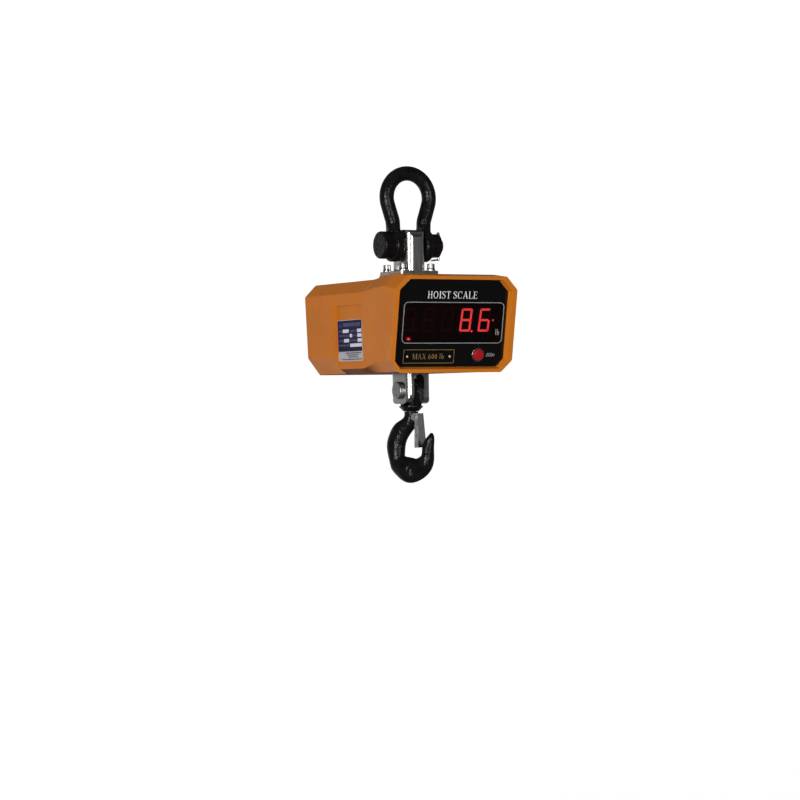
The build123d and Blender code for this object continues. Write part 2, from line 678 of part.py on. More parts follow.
def button_nut():
    nut = extrude(RegularPolygon(10.4, 6), 2.0) - Cylinder(BARREL_R, 20.0)
    return on_plane(FACE, nut, BUTTON_X, BUTTON_Y, -RECESS - PANEL_T - 2.0)


def zero_button():
    cap = Cylinder(BUTTON_R, BUTTON_CAP_H)
    cap = fillet(cap.edges().filter_by(GeomType.CIRCLE).sort_by(Axis.Z)[-1], 1.4)
    stem = Pos(0, 0, -5.2) * Cylinder(2.0, 3.0)
    middle = -RECESS + BUTTON_PROUD - BUTTON_CAP_H / 2
    return on_plane(FACE, cap + stem, BUTTON_X, BUTTON_Y, middle)


def button_switch():
    top = -RECESS + BUTTON_PROUD - BUTTON_CAP_H / 2 - 6.7 - 1.7
    bottom = -RECESS - PANEL_T - STACK_GAP - DIGIT_DEEP
    body = on_plane(FACE, Box(12.0, 12.0, top - 1.0 - bottom), BUTTON_X, BUTTON_Y, (top - 1.0 + bottom) / 2)
    plunger = on_plane(FACE, Cylinder(2.4, 1.4), BUTTON_X, BUTTON_Y, top - 0.7)
    return body + plunger


# ---- rear ---------------------------------------------------------------------------------
def cover_screw_places():
    return [(sx * COVER_SCREW_X, sy * COVER_SCREW_Y) for sx in (-1, 1) for sy in (-1, 1)]


def rear_cover():
    cover = plate(REAR, cover_outline(0.0, 0.0), 0.0, -COVER_T)
    cover = chamfer(cover.faces().sort_by(Axis.Y)[-1].edges(), 0.8)
    for x, y in cover_screw_places():
        cover = cover - on_plane(REAR, Cylinder(COVER_SCREW_HOLE_R, 30.0), x, y)
    cover = cover - on_plane(REAR, Box(*SWITCH_HOLE, 30.0), SWITCH_X, SWITCH_Y)
    return cover - on_plane(REAR, Cylinder(SOCKET_HOLE_R, 30.0), SOCKET_X, SWITCH_Y)


def rear_gasket():
    ring = plate(REAR, cover_outline(0.0, 0.0), -COVER_T, -COVER_T - GASKET_T)
    ring = ring - plate(REAR, cover_outline(-COVER_LEDGE_X + 0.5, -COVER_LEDGE_Y + 0.5), 0.0, -12.0)
    for x, y in cover_screw_places():
        ring = ring - on_plane(REAR, Cylinder(COVER_SCREW_HOLE_R, 30.0), x, y)
    return ring


def rear_screws():
    """Pan-head cross-recess screws of the rear cover."""
    screws = []
    for x, y in cover_screw_places():
        head = Pos(0, 0, 1.2) * Cylinder(3.8, 2.4)
        head = fillet(head.edges().filter_by(GeomType.CIRCLE).sort_by(Axis.Z)[-1], 1.1)
        shank = Pos(0, 0, -3.8) * Cylinder(1.85, 7.6)
        recess = Pos(0, 0, 2.4) * (Box(4.2, 0.9, 2.6) + Box(0.9, 4.2, 2.6))
        screws.append(on_plane(REAR, head + shank - recess, x, y))
    return Compound(children=screws)


def power_switch():
    """Snap-in switch frame with a bore for the rocker's pivot."""
    flange = Pos(0, 0, 0.8) * Box(21.0, 15.0, 1.6)
    flange = fillet(flange.edges().filter_by(Axis.Z), 1.2)
    body = Pos(0, 0, -6.5) * Box(18.8, 12.4, 13.0)
    well = Pos(0, 0, 0.6) * Box(15.6, 9.4, 12.0)
    return on_plane(REAR, flange + body - well, SWITCH_X, SWITCH_Y)


def power_rocker():
    """Two-position rocker, a shallow V across its pivot."""
    profile = [(-7.3, 3.4), (0.0, 1.6), (7.3, 1.2), (6.0, -3.2), (-6.0, -3.2)]
    outline = Plane.XZ * make_face(Polyline(*profile, close=True))
    rocker = Pos(0, 4.5, 0) * extrude(outline, 9.0)
    return on_plane(REAR, rocker, SWITCH_X, SWITCH_Y)


def charge_socket():
    """Round DC socket with its centre contact."""
    flange = Pos(0, 0, 0.9) * Cylinder(7.2, 1.8)
    flange = fillet(flange.edges().filter_by(GeomType.CIRCLE).sort_by(Axis.Z)[-1], 0.6)
    body = Pos(0, 0, -6.0) * Cylinder(5.4, 12.0)
    hole = Pos(0, 0, -3.5) * Cylinder(2.9, 12.0)
    contact = Pos(0, 0, -4.8) * Cylinder(1.0, 9.4)
    return on_plane(REAR, flange + body - hole + contact, SOCKET_X, SWITCH_Y)


def batteries():
    """Two sealed packs beside the load cell, placed so that the scale hangs level."""
    packs = []
    for side in (-1, 1):
        centre = Pos(side * BATTERY_X, BATTERY_Y, BATTERY_BASE + BATTERY_H / 2)
        pack = centre * Box(BATTERY_W, BATTERY_L, BATTERY_H)
        pack = fillet(pack.edges().filter_by(Axis.Z), BATTERY_EDGE_R)
        for y in (-TAB_HALF, TAB_HALF):
            tab = Box(TAB_SIZE[0], TAB_SIZE[1], TAB_SIZE[2])
            top = BATTERY_BASE + BATTERY_H + TAB_SIZE[2] / 2
            pack = pack + Pos(side * BATTERY_X, BATTERY_Y + y, top) * tab
        packs.append(pack)
    return Compound(children=packs)


def battery_trays():
    """Bent sheet trays that hold the packs on the housing floor."""
    trays = []
    wide = BATTERY_W + 2 * TRAY_SHEET
    long = BATTERY_L + 2 * TRAY_SHEET
    for side in (-1, 1):
        outside = Box(wide, long, TRAY_H + TRAY_SHEET)
        inside = Pos(0, 0, TRAY_SHEET) * Box(BATTERY_W, BATTERY_L, TRAY_H + TRAY_SHEET)
        middle = BATTERY_BASE - TRAY_SHEET + (TRAY_H + TRAY_SHEET) / 2
        trays.append(Pos(side * BATTERY_X, BATTERY_Y, middle) * (outside - inside))
    return Compound(children=trays)


# ---- lower pin ----------------------------------------------------------------------------
def clevis_pin():
    head = rod_x(PIN_HEAD_R, -FORK_X / 2 - PIN_HEAD_T, -FORK_X / 2, 0, PIN_Z)
    head = fillet(head.edges().filter_by(GeomType.CIRCLE).sort_by(Axis.X)[0], 1.0)
    shank = rod_x(PIN_R, -FORK_X / 2, FORK_X / 2 + 3.2, 0, PIN_Z)
    shank = chamfer(shank.edges().filter_by(GeomType.CIRCLE).sort_by(Axis.X)[-1], 0.8)
    groove = rod_x(PIN_R + 2, FORK_X / 2 + 0.2, FORK_X / 2 + 1.5, 0, PIN_Z)
    groove = groove - rod_x(PIN_R - 1.0, FORK_X / 2 - 1, FORK_X / 2 + 3, 0, PIN_Z)
    return head + shank - groove


def pin_clip():
    """Spring ring in the groove of the pin, open at one side."""
    ring = rod_x(PIN_R + 1.8, FORK_X / 2 + 0.25, FORK_X / 2 + 1.45, 0, PIN_Z)
    ring = ring - rod_x(PIN_R - 1.0, FORK_X / 2 - 1, FORK_X / 2 + 3, 0, PIN_Z)
    return ring - Pos(FORK_X / 2 + 1, 0, PIN_Z - PIN_R) * Box(6, 5.0, 8.0)


# ---- bail, hook and latch -----------------------------------------------------------------
def swivel_bail():
    lug = rod_x(BAIL_R, -BAIL_T / 2, BAIL_T / 2, 0, PIN_Z)
    skirt = [
        (-BAIL_R, PIN_Z),
        (-BASE_R + 0.4, BASE_TOP + 2.0),
        (-BASE_R + 0.4, BASE_TOP),
        (BASE_R - 0.4, BASE_TOP),
        (BASE_R - 0.4, BASE_TOP + 2.0),
        (BAIL_R, PIN_Z),
    ]
    web = make_face(Polyline(*[(-BAIL_T / 2, y, z) for y, z in skirt], close=True))
    limbs = lug + extrude(web, BAIL_T, dir=(1, 0, 0))
    window = [
        (-7.8, BASE_TOP),
        (-6.0, BASE_TOP + 7.0),
        (-3.5, BASE_TOP + 8.2),
        (3.5, BASE_TOP + 8.2),
        (6.0, BASE_TOP + 7.0),
        (7.8, BASE_TOP),
    ]
    hole = make_face(Polyline(*[(-BAIL_T, y, z) for y, z in window], close=True))
    limbs = limbs - extrude(hole, 2 * BAIL_T, dir=(1, 0, 0))
    rim = rod_z(BASE_R, BASE_TOP - BASE_EDGE, BASE_TOP)
    cone_h = BASE_R - BAIL_END_R
    cone = Pos(0, 0, BASE_TOP - BASE_EDGE - cone_h / 2) * Cone(BAIL_END_R, BASE_R, cone_h)
    body = limbs + rim + cone
    body = body - rod_x(PIN_R + RUN_FIT, -BAIL_T, BAIL_T, 0, PIN_Z)
    body = body - rod_z(SHANK_R + RUN_FIT, BASE_TOP - 20, BASE_TOP)
    return body - rod_z(SWIVEL_NUT_R + 0.4, BASE_TOP - SWIVEL_NUT_T - 0.2, BASE_TOP)


def bail_end_z():
    return BASE_TOP - BASE_EDGE - (BASE_R - BAIL_END_R)


def swivel_nut():
    top = BASE_TOP - 0.1
    nut = ring_z(SWIVEL_NUT_R, SHANK_R, top - SWIVEL_NUT_T + 0.1, top, 0, 0)
    for x in (-1, 1):
        nut = nut - Pos(x * SWIVEL_NUT_R, 0, top) * Box(2.4, 2.0, 2.4)
    return nut


def hook_section(inner, outer, half_out):
    """Oval slice of the hook between an inner and an outer point of its outline."""
    centre = ((inner[0] + outer[0]) / 2, (inner[1] + outer[1]) / 2)
    across = Vector(outer[0] - inner[0], outer[1] - inner[1], 0)
    slice_plane = Plane(origin=(centre[0], centre[1], 0), x_dir=(across.X, across.Y, 0),
                        z_dir=(across.Y, -across.X, 0))
    return slice_plane * Ellipse(across.length / 2, half_out)


def hook():
    top = bail_end_z() - 0.3
    slices = [
        ((NECK_R, top), (-NECK_R, top), NECK_R),
        ((NECK_R, -265.0), (-NECK_R, -264.5), NECK_R),
        ((7.4, -270.5), (-10.6, -267.6), 8.4),
        ((4.6, -277.0), (-16.4, -270.9), 8.7),
        ((-1.6, -284.6), (-23.6, -277.6), 8.8),
        ((-7.0, -293.0), (-28.9, -288.2), 8.9),
        ((-9.0, -301.0), (-30.8, -300.4), 9.0),
        ((-5.8, -310.5), (-25.0, -325.0), 9.2),
        ((1.6, -314.6), (0.4, -340.0), 9.2),
        ((9.7, -311.0), (22.2, -327.5), 8.8),
        ((13.8, -303.0), (27.4, -309.5), 7.6),
        ((14.8, -295.8), (27.8, -298.5), 6.0),
        ((19.0, -289.6), (28.4, -291.0), 4.6),
        ((23.0, -285.2), (27.6, -285.8), 2.4),
        ((24.4, -283.8), (26.6, -284.0), 1.1),
    ]
    body = loft([hook_section(*values) for values in slices])
    nose = Pos(LATCH_U, LATCH_Z, 0) * (Cylinder(NOSE_R, 2 * NOSE_HALF)
                                        + Pos(-NOSE_R, 0, 0) * Box(2 * NOSE_R, 2 * NOSE_R, 2 * NOSE_HALF))
    body = body + nose
    for side, inner in ((-1, NOSE_HALF), (1, NOSE_HALF - 3.4)):
        depth = 12.0 - inner
        body = body - Pos(LATCH_U, LATCH_Z, side * (inner + depth / 2)) * Cylinder(4.8, depth)
    body = body - Pos(LATCH_U, LATCH_Z, 0) * Cylinder(LATCH_PIN_R, 40.0)
    body = Rot(90, 0, 0) * body
    body = Rot(0, 0, HOOK_ANGLE) * body
    return body + rod_z(SHANK_R, top - 1.0, BASE_TOP - 0.1)


def latch_frame():
    """Pivot frame of the latch: x outward from the throat, y up the latch, z along the pin."""
    return Rot(0, 0, HOOK_ANGLE) * Rot(90, 0, 0) * Pos(LATCH_U, LATCH_Z, 0) * Rot(0, 0, LATCH_TILT)


def latch_wedge(shrink, x0, x1, y0, y1):
    """Block between two depths of the latch that widens towards its lower end."""
    slope = (LATCH_LOW_HALF - LATCH_TOP_HALF) / LATCH_LEN
    half0 = LATCH_TOP_HALF + slope * (-y0) - shrink
    half1 = LATCH_TOP_HALF + slope * (-y1) - shrink
    points = [(0, y0, -half0), (0, y1, -half1), (0, y1, half1), (0, y0, half0)]
    outline = make_face(Polyline(*points, close=True))
    return Pos(x0, 0, 0) * extrude(outline, x1 - x0, dir=(1, 0, 0))


def latch():
    """Pressed sheet channel that closes the throat from inside the tip."""
    back_x = LATCH_WEB_X - LATCH_DEEP
    body = latch_wedge(0.0, back_x, LATCH_WEB_X, 4.0, -LATCH_LEN)
    body = body - latch_wedge(SHEET, back_x - 1, LATCH_WEB_X - SHEET, 8.0, -LATCH_LEN - 5)
    for side in (-1, 1):
        z_mid = side * (LATCH_TOP_HALF - SHEET / 2)
        ear = Pos(0, 0, z_mid) * Cylinder(LATCH_EAR_R, SHEET)
        strap = Pos(1.5, -0.3, z_mid) * Box(3.0, 8.6, SHEET)
        body = body + ear + strap
    body = body - Cylinder(LATCH_PIN_R + RUN_FIT, 60.0)
    return latch_frame() * body


def latch_pin():
    """Riveted pin through both ears and the nose of the hook."""
    half = 7.6
    pin = Cylinder(LATCH_PIN_R, 2 * half)
    for side in (-1, 1):
        pin = pin + Pos(0, 0, side * (half + 0.3)) * Cylinder(RIVET_R, RIVET_T)
    return latch_frame() * pin


def latch_spring():
    """Torsion spring round the pin, one leg on the nose and one on the web of the latch."""
    body = Pos(0, 0, 2.2) * Torus(SPRING_COIL_R, SPRING_WIRE_R + 0.04)
    for turn in (1, 2):
        body = body + Pos(0, 0, 2.2 + turn * 0.88) * Torus(SPRING_COIL_R, SPRING_WIRE_R + 0.04)
    leg = Pos(SPRING_COIL_R - 0.1, -8.0, 3.96) * Rot(90, 0, 0) * Cylinder(SPRING_WIRE_R, 15.0)
    leg = leg - Pos(0, 0, 4.0) * Cylinder(SPRING_COIL_R - SPRING_WIRE_R, 6.0)
    return latch_frame() * (body + leg)


# ---- write one file for each piece ---------------------------------------------------------
PIECES = {
    "shackle_bow": shackle_bow,
    "shackle_bolt": shackle_bolt,
    "shackle_nut": shackle_nut,
    "shackle_cotter": shackle_cotter,
    "load_cell": load_cell,
    "gauge_covers": gauge_covers,
    "top_flange": top_flange,
    "flange_washers": flange_washers,
    "flange_spring_washers": flange_spring_washers,
    "flange_screws": flange_screws,
    "top_seal": top_seal,
    "bottom_seal": bottom_seal,
    "housing": housing,
    "side_label": side_label,
    "front_panel": front_panel,
    "display_window": display_window,
    "display_trim": display_trim,
    "led_digits": led_digits,
    "status_led": status_led,
    "display_board": display_board,
    "main_board": main_board,
    "board_standoffs": board_standoffs,
    "button_bezel": button_bezel,
    "button_nut": button_nut,
    "zero_button": zero_button,
    "button_switch": button_switch,
    "rear_cover": rear_cover,
    "rear_gasket": rear_gasket,
    "rear_screws": rear_screws,
    "power_switch": power_switch,
    "power_rocker": power_rocker,
    "charge_socket": charge_socket,
    "batteries": batteries,
    "battery_trays": battery_trays,
    "clevis_pin": clevis_pin,
    "pin_clip": pin_clip,
    "swivel_bail": swivel_bail,
    "swivel_nut": swivel_nut,
    "hook": hook,
    "latch": latch,
    "latch_pin": latch_pin,
    "latch_spring": latch_spring,
}

os.makedirs("parts", exist_ok=True)
for name, make in PIECES.items():
    export_step(make(), f"parts/{name}.step")
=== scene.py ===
import json
import math
import random

import bpy
from mathutils import Matrix, Vector
from mathutils.geometry import delaunay_2d_cdt


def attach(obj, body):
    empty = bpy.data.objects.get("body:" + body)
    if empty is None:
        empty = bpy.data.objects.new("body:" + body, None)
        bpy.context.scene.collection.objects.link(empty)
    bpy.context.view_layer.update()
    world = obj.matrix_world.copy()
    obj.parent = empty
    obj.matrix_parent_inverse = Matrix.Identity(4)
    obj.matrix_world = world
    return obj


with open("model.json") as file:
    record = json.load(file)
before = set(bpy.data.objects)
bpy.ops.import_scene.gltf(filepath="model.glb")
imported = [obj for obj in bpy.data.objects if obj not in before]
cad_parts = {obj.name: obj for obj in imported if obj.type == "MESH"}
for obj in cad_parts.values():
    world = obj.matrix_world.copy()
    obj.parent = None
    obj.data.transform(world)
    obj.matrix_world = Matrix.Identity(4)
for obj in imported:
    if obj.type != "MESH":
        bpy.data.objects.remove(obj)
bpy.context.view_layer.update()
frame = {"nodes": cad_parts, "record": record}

# ---- named values, in metres in the part's own frame -------------------------------------------
MM = 0.001
FACE_TILT = math.radians(10.0)
RECESS = 7.0 * MM


def plane(origin, right, up):
    """Matrix of a drawing plane: x to the right, y up, z out of the surface."""
    right = Vector(right).normalized()
    up = Vector(up).normalized()
    out = right.cross(up)
    axes = Matrix((right, up, out)).transposed().to_4x4()
    return Matrix.Translation(Vector(origin)) @ axes


# the display end and the left pocket, each with its origin in the middle
FACE = plane((0, -97 * MM, -165 * MM), (1, 0, 0), (0, -math.sin(FACE_TILT), math.cos(FACE_TILT)))
LABEL = plane((-72.363 * MM, 8.6 * MM, -179.4 * MM), (0, -1, 0), (-0.0246, 0, 0.9997))


# ---- material kit -----------------------------------------------------------------------------
MIX_SHARE, MIX_A, MIX_B = 0, 6, 7


class Finish:
    """A procedural material built round one Principled surface."""

    def __init__(self, name, colour, rough, metal=0.0):
        self.material = bpy.data.materials.new(name)
        self.material.use_nodes = True
        self.tree = self.material.node_tree
        self.surface = self.tree.nodes["Principled BSDF"]
        self.put("Base Color", (*colour, 1.0))
        self.put("Roughness", rough)
        self.put("Metallic", metal)
        self.place = self.add("ShaderNodeTexCoord").outputs["Object"]
        self.normal = None

    def add(self, kind, **settings):
        made = self.tree.nodes.new(kind)
        for key, value in settings.items():
            setattr(made, key, value)
        return made

    def link(self, source, target):
        self.tree.links.new(source, target)

    def put(self, socket, value):
        """Sets a surface input to a number, a colour or another node's output."""
        if isinstance(value, bpy.types.NodeSocket):
            self.link(value, self.surface.inputs[socket])
        else:
            self.surface.inputs[socket].default_value = value

    def stretched(self, size, stretch):
        """Object coordinates in units of size metres, times a stretch along each axis."""
        mapping = self.add("ShaderNodeMapping")
        mapping.inputs["Scale"].default_value = [s / size for s in stretch]
        self.link(self.place, mapping.inputs["Vector"])
        return mapping.outputs["Vector"]

    def noise(self, size, stretch=(1, 1, 1), detail=3.0):
        """Noise with features about size metres across, from 0 to 1."""
        made = self.add("ShaderNodeTexNoise")
        made.inputs["Scale"].default_value = 1.0
        made.inputs["Detail"].default_value = detail
        made.inputs["Roughness"].default_value = 0.55
        self.link(self.stretched(size, stretch), made.inputs["Vector"])
        return made.outputs["Fac"]

    def cells(self, size, output="Distance"):
        """Cells about size metres across."""
        made = self.add("ShaderNodeTexVoronoi")
        made.inputs["Scale"].default_value = 1.0
        self.link(self.stretched(size, (1, 1, 1)), made.inputs["Vector"])
        return made.outputs[output]

    def spread(self, source, low, high, to_low=0.0, to_high=1.0):
        """Maps low to high onto to_low to to_high, held at both ends."""
        made = self.add("ShaderNodeMapRange")
        for key, value in (("From Min", low), ("From Max", high), ("To Min", to_low), ("To Max", to_high)):
            made.inputs[key].default_value = value
        self.link(source, made.inputs["Value"])
        return made.outputs["Result"]

    def maths(self, operation, a, b):
        made = self.add("ShaderNodeMath", operation=operation)
        for index, value in enumerate((a, b)):
            if isinstance(value, bpy.types.NodeSocket):
                self.link(value, made.inputs[index])
            else:
                made.inputs[index].default_value = value
        return made.outputs[0]

    def mix(self, share, a, b):
        """Colour from a to b as share goes from 0 to 1."""
        made = self.add("ShaderNodeMix", data_type="RGBA")
        self.link(share, made.inputs[MIX_SHARE])
        for index, value in ((MIX_A, a), (MIX_B, b)):
            if isinstance(value, bpy.types.NodeSocket):
                self.link(value, made.inputs[index])
            else:
                made.inputs[index].default_value = (*value, 1.0)
        return made.outputs[2]

    def mottled(self, size, low, high, stretch=(1, 1, 1)):
        """Colour that wanders between two tints."""
        return self.mix(self.spread(self.noise(size, stretch, detail=4), 0.3, 0.7), low, high)

    def uneven(self, size, low, high, detail=3.0):
        """Value that wanders between two levels."""
        return self.spread(self.noise(size, detail=detail), 0.3, 0.7, low, high)

    def bump(self, height, depth):
        """Adds relief of the given depth in metres."""
        made = self.add("ShaderNodeBump")
        made.inputs["Strength"].default_value = 1.0
        made.inputs["Distance"].default_value = depth
        self.link(height, made.inputs["Height"])
        if self.normal:
            self.link(self.normal, made.inputs["Normal"])
        self.normal = made.outputs["Normal"]
        self.put("Normal", self.normal)

    def edges(self, radius, low=0.02, high=0.25):
        """Mask that is 1 along sharp edges."""
        rounded = self.add("ShaderNodeBevel", samples=4)
        rounded.inputs["Radius"].default_value = radius
        geometry = self.add("ShaderNodeNewGeometry")
        dot = self.add("ShaderNodeVectorMath", operation="DOT_PRODUCT")
        self.link(rounded.outputs["Normal"], dot.inputs[0])
        self.link(geometry.outputs["Normal"], dot.inputs[1])
        return self.spread(self.maths("SUBTRACT", 1.0, dot.outputs["Value"]), low, high)


def orange_coat():
    f = Finish("orange_coat", (0.50, 0.145, 0.010), 0.45)
    fine = f.spread(f.noise(0.0009, detail=2), 0.2, 0.8)
    colour = f.mottled(0.045, (0.51, 0.142, 0.005), (0.57, 0.166, 0.008))
    colour = f.mix(f.maths("MULTIPLY", fine, 0.12), colour, (0.64, 0.23, 0.03))
    # lighter along sharp edges in patches: partly worn thin paint, partly a painted highlight on the edges
    edge_wear_and_highlight = f.maths("MULTIPLY", f.edges(0.0012), f.spread(f.noise(0.006), 0.35, 0.6))
    colour = f.mix(f.maths("MULTIPLY", edge_wear_and_highlight, 0.3), colour, (0.72, 0.30, 0.07))
    # painted shade: faces that look down turn dark brown and reflect less, standing in for the shadow under
    # the housing, slightly mottled by noise
    split = f.add("ShaderNodeSeparateXYZ")
    f.link(f.add("ShaderNodeNewGeometry").outputs["Normal"], split.inputs[0])
    dirt_and_painted_shade = f.spread(split.outputs["Z"], -0.83, -0.735, 1.0, 0.0)
    dirt_and_painted_shade = f.maths("MULTIPLY", dirt_and_painted_shade, f.spread(f.noise(0.03, detail=4), 0.2, 0.6, 0.88, 1.0))
    f.put("Base Color", f.mix(dirt_and_painted_shade, colour, (0.135, 0.037, 0.006)))
    f.put("Roughness", f.uneven(0.012, 0.40, 0.52))
    # the weaker reflection on downward faces is part of the same painted shade
    f.put("Specular IOR Level", f.spread(dirt_and_painted_shade, 0.0, 1.0, 0.30, 0.06))
    f.bump(f.noise(0.0022, detail=2), 0.00007)
    f.bump(f.noise(0.0006, detail=1), 0.00002)
    return f.material


def black_paint():
    f = Finish("black_paint", (0.005, 0.005, 0.006), 0.2)
    colour = f.mottled(0.01, (0.003, 0.003, 0.0035), (0.008, 0.008, 0.009))
    # light grey spots at chips and along edges: partly bare metal where the paint is worn, partly painted
    # glints standing in for highlights on the paint
    chips_and_glints = f.spread(f.cells(0.0034), 0.05, 0.13, 1.0, 0.0)
    chips_and_glints = f.maths("MULTIPLY", chips_and_glints, f.spread(f.noise(0.011), 0.60, 0.65))
    edge_wear_and_highlight = f.maths("MULTIPLY", f.edges(0.0009), f.spread(f.noise(0.003), 0.54, 0.64))
    bare_and_glints = f.maths("MAXIMUM", chips_and_glints, edge_wear_and_highlight)
    f.put("Base Color", f.mix(bare_and_glints, colour, (0.26, 0.26, 0.26)))
    f.put("Metallic", f.maths("MULTIPLY", bare_and_glints, 0.8))
    f.put("Roughness", f.uneven(0.004, 0.12, 0.26))
    f.put("Specular IOR Level", 0.17)
    f.bump(f.noise(0.006, detail=2), 0.0006)
    f.bump(f.noise(0.0026, detail=2), 0.00045)
    return f.material


def stainless():
    f = Finish("stainless", (0.62, 0.61, 0.59), 0.2, 1.0)
    grain = f.noise(0.0007, (1, 1, 0.02), detail=4)
    f.put("Base Color", f.mottled(0.02, (0.50, 0.495, 0.48), (0.70, 0.69, 0.67), (1, 1, 0.35)))
    f.put("Roughness", f.spread(grain, 0.3, 0.7, 0.15, 0.27))
    f.put("Anisotropic", 0.3)
    f.bump(grain, 0.00002)
    f.bump(f.noise(0.009, detail=2), 0.00005)
    return f.material


def zinc():
    f = Finish("zinc", (0.6, 0.6, 0.6), 0.34, 1.0)
    colour = f.mottled(0.006, (0.48, 0.49, 0.50), (0.66, 0.66, 0.66))
    # dark dirt patches placed by noise; no painted shade in this finish
    dirt_and_painted_shade = f.spread(f.noise(0.013, detail=5), 0.56, 0.7)
    f.put("Base Color", f.mix(f.maths("MULTIPLY", dirt_and_painted_shade, 0.6), colour, (0.2, 0.19, 0.18)))
    f.put("Roughness", f.uneven(0.0018, 0.26, 0.42))
    f.bump(f.noise(0.0009, detail=3), 0.00004)
    return f.material


def plain_metal(name, size, low, high, rough_low, rough_high):
    """Bare metal with patchy tint and a fine tooth."""
    f = Finish(name, low, rough_low, 1.0)
    f.put("Base Color", f.mottled(size, low, high))
    f.put("Roughness", f.uneven(0.001, rough_low, rough_high))
    f.bump(f.noise(0.0008), 0.00002)
    return f.material


def moulded(name, size, low, high, rough_low, rough_high, grain):
    """Moulded rubber or plastic with a grained skin."""
    f = Finish(name, low, rough_low)
    f.put("Base Color", f.mottled(size, low, high))
    f.put("Roughness", f.uneven(0.0015, rough_low, rough_high))
    f.bump(f.cells(grain), 0.00003)
    return f.material


def glossy_print(name, colour, other, rough=0.3, glow=0.0, metal=0.0):
    """Ink, foil or moulded colour with a slight grain."""
    f = Finish(name, colour, rough, metal)
    tint = f.mottled(0.0035, colour, other)
    f.put("Base Color", tint)
    f.put("Roughness", f.uneven(0.001, rough * 0.85, rough * 1.2, detail=2))
    f.put("Specular IOR Level", 0.13)
    if glow:
        f.put("Emission Color", tint)
        f.put("Emission Strength", glow)
    f.bump(f.noise(0.0007, detail=2), 0.000008)
    return f.material


def panel():
    f = Finish("panel", (0.003, 0.003, 0.003), 0.13)
    f.put("Specular IOR Level", 0.35)
    dust = f.spread(f.cells(0.0018), 0.03, 0.09, 1.0, 0.0)
    dust = f.maths("MULTIPLY", dust, f.spread(f.noise(0.012), 0.55, 0.62))
    dust = f.maths("MULTIPLY", dust, 0.25)
    f.put("Base Color", f.mix(dust, (0.0022, 0.0024, 0.0024), (0.06, 0.06, 0.06)))
    f.put("Roughness", f.uneven(0.02, 0.1, 0.19, detail=4))
    f.bump(f.noise(0.0012, (0.12, 1, 1), detail=3), 0.000004)
    f.bump(f.noise(0.05, detail=2), 0.00012)
    return f.material


def window():
    """Dark red filter: thin gloss over a tinted see-through sheet."""
    f = Finish("window", (0.06, 0.003, 0.004), 0.08)
    smear = f.spread(f.noise(0.02, detail=4), 0.3, 0.7)
    clear = f.add("ShaderNodeBsdfTransparent")
    f.link(f.mix(smear, (0.46, 0.15, 0.155), (0.54, 0.18, 0.185)), clear.inputs["Color"])
    gloss = f.add("ShaderNodeBsdfGlossy")
    gloss.inputs["Color"].default_value = (0.9, 0.9, 0.92, 1.0)
    f.link(f.spread(smear, 0.0, 1.0, 0.07, 0.13), gloss.inputs["Roughness"])
    rim = f.add("ShaderNodeFresnel")
    rim.inputs["IOR"].default_value = 1.38
    both = f.add("ShaderNodeMixShader")
    f.link(rim.outputs["Fac"], both.inputs[0])
    f.link(clear.outputs["BSDF"], both.inputs[1])
    f.link(gloss.outputs["BSDF"], both.inputs[2])
    f.link(both.outputs["Shader"], f.tree.nodes["Material Output"].inputs["Surface"])
    return f.material


def board():
    """Solder mask with a pattern of copper runs under it."""
    f = Finish("board", (0.015, 0.12, 0.045), 0.35)
    tracks = f.add("ShaderNodeTexBrick")
    f.link(f.stretched(0.004, (1, 1, 1)), tracks.inputs["Vector"])
    lines = f.spread(tracks.outputs["Fac"], 0.0, 1.0)
    colour = f.mottled(0.01, (0.012, 0.10, 0.036), (0.02, 0.15, 0.055))
    f.put("Base Color", f.mix(lines, colour, (0.05, 0.24, 0.09)))
    f.bump(lines, 0.00003)
    return f.material


def tray():
    """Galvanised sheet with its spangle."""
    f = Finish("tray", (0.5, 0.51, 0.53), 0.4, 1.0)
    spangle = f.spread(f.cells(0.008, output="Color"), 0.0, 1.0)
    f.put("Base Color", f.mix(spangle, (0.42, 0.43, 0.45), (0.62, 0.63, 0.64)))
    f.put("Roughness", f.uneven(0.002, 0.32, 0.5))
    return f.material


FINISHES = {
    "orange_coat": orange_coat(),
    "black_paint": black_paint(),
    "stainless": stainless(),
    "zinc": zinc(),
    "spring_steel": plain_metal("spring_steel", 0.002, (0.06, 0.06, 0.065), (0.14, 0.14, 0.14), 0.3, 0.5),
    "rubber": moulded("rubber", 0.008, (0.014,) * 3, (0.034,) * 3, 0.6, 0.8, 0.0009),
    "label": glossy_print("label", (0.50, 0.49, 0.53), (0.60, 0.59, 0.62), 0.4, metal=0.35),
    "panel": panel(),
    "window": window(),
    "silver_trim": glossy_print("silver_trim", (0.34, 0.35, 0.36), (0.46, 0.47, 0.47), 0.34, metal=0.4),
    "led_block": glossy_print("led_block", (0.045, 0.03, 0.03), (0.055, 0.035, 0.035), 0.5),
    "red_led": glossy_print("red_led", (0.8, 0.02, 0.03), (0.9, 0.04, 0.05), 0.3, glow=1.2),
    "board": board(),
    "brass": plain_metal("brass", 0.004, (0.55, 0.38, 0.14), (0.72, 0.53, 0.24), 0.22, 0.4),
    "red_button": glossy_print("red_button", (0.33, 0.009, 0.013), (0.40, 0.012, 0.018), 0.3),
    "black_plastic": moulded("black_plastic", 0.01, (0.015,) * 3, (0.03,) * 3, 0.38, 0.55, 0.0006),
    "tray": tray(),
}
SEGMENT_LIT = glossy_print("segment_lit", (1.0, 0.53, 0.52), (1.0, 0.58, 0.55), 0.4, glow=3.0)
LAMP_HALO = glossy_print("lamp_halo", (0.75, 0.06, 0.10), (0.85, 0.08, 0.12), 0.4, glow=0.8)
LAMP_CORE = glossy_print("lamp_core", (1.0, 0.30, 0.46), (1.0, 0.34, 0.52), 0.4, glow=1.2)
